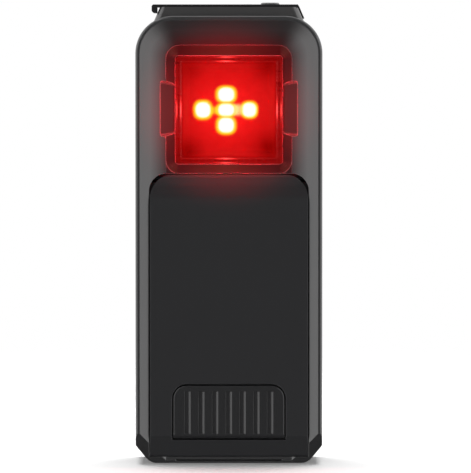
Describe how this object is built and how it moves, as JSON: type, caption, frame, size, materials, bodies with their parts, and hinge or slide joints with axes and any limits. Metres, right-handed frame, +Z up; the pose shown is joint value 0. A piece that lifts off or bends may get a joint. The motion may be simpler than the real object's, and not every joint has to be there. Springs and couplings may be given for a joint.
{
  "type": "bicycle rear light",
  "caption": "Upright rear light with a recessed square red lens above a hinged black battery cover with a ribbed latch, a capped port on top and a quarter-turn mount behind.",
  "frame": {"origin": "middle of the foot, on the ground, centred on the overall box", "axes": "+Z up along the height, -Y out of the lens, -X to the left in a front view"},
  "size_m": [0.0402, 0.0238, 0.0989],
  "materials": {
    "housing_grey": "satin moulded grey, fine spark texture",
    "panel_black": "smooth satin black",
    "rear_shell": "fine moulded texture",
    "latch_black": "matt black with moulded ribs",
    "plinth_grey": "satin dark grey",
    "cap_rubber": "soft matt elastomer",
    "button_grey": "satin light grey",
    "seal_rubber": "silicone, matt",
    "lens_red": "polished clear red",
    "reflector_metal": "vacuum metallised",
    "board_green": "solder mask over glass laminate",
    "led_body": "moulded white",
    "led_dome": "clear silicone dome, lit",
    "chip_black": "epoxy",
    "steel": "machined",
    "gold_contact": "gold plated",
    "battery_wrap": "heat-shrink wrap",
    "tray_black": "moulded",
    "window_clear": "polished clear",
    "mount_black": "glass-filled nylon"
  },
  "bodies": {
    "body": {"front_housing": "housing_grey", "rear_cover": "rear_shell", "case_seal": "seal_rubber", "case_screws": "steel", "lens": "lens_red", "lens_gasket": "seal_rubber", "reflector": "reflector_metal", "led_board": "board_green", "led_packages": "led_body", "led_domes": "led_dome", "led_board_screws": "steel", "battery_tray": "tray_black", "battery_pack": "battery_wrap", "battery_contacts": "gold_contact", "main_board": "board_green", "board_screws": "steel", "control_chips": "chip_black", "power_coil": "chip_black", "board_link": "led_body", "cover_pin": "steel", "cover_seal": "seal_rubber", "top_plinth": "plinth_grey", "port_shell": "steel", "port_tongue": "chip_black", "port_cover_strap": "cap_rubber", "mode_button_boot": "seal_rubber", "mode_switch": "chip_black", "side_button_boot": "seal_rubber", "side_switch": "chip_black", "status_window": "window_clear", "status_led": "led_body", "quarter_turn_mount": "mount_black", "mount_screws": "steel"},
    "battery_cover": {"battery_cover": "panel_black", "latch_pin": "steel"},
    "cover_latch": {"cover_latch": "latch_black"},
    "port_cover": {"port_cover": "cap_rubber"},
    "mode_button": {"mode_button": "button_grey", "mode_switch_plunger": "led_body"},
    "side_button": {"side_button": "housing_grey", "side_switch_plunger": "led_body"}
  },
  "joints": [
    {"name": "battery_cover_swing", "type": "hinge", "parent": "body", "child": "battery_cover", "pos_m": [0, -0.0095, 0.0612], "axis": [-1, 0, 0], "range_deg": [0, 60]},
    {"name": "cover_latch_press", "type": "hinge", "parent": "battery_cover", "child": "cover_latch", "pos_m": [0, -0.0108, 0.0061], "axis": [-1, 0, 0], "range_deg": [0, 5], "stiffness_Nm_per_rad": 0.4},
    {"name": "port_cover_lift", "type": "hinge", "parent": "body", "child": "port_cover", "pos_m": [0.0042, -0.0019, 0.0982], "axis": [0, 1, 0], "range_deg": [0, 110]},
    {"name": "mode_button_press", "type": "slide", "parent": "body", "child": "mode_button", "axis": [0, 0, -1], "range_m": [0, 0.0005], "stiffness_N_per_m": 3000},
    {"name": "side_button_press", "type": "slide", "parent": "body", "child": "side_button", "axis": [1, 0, 0], "range_m": [0, 0.0004], "stiffness_N_per_m": 3000}
  ]
}
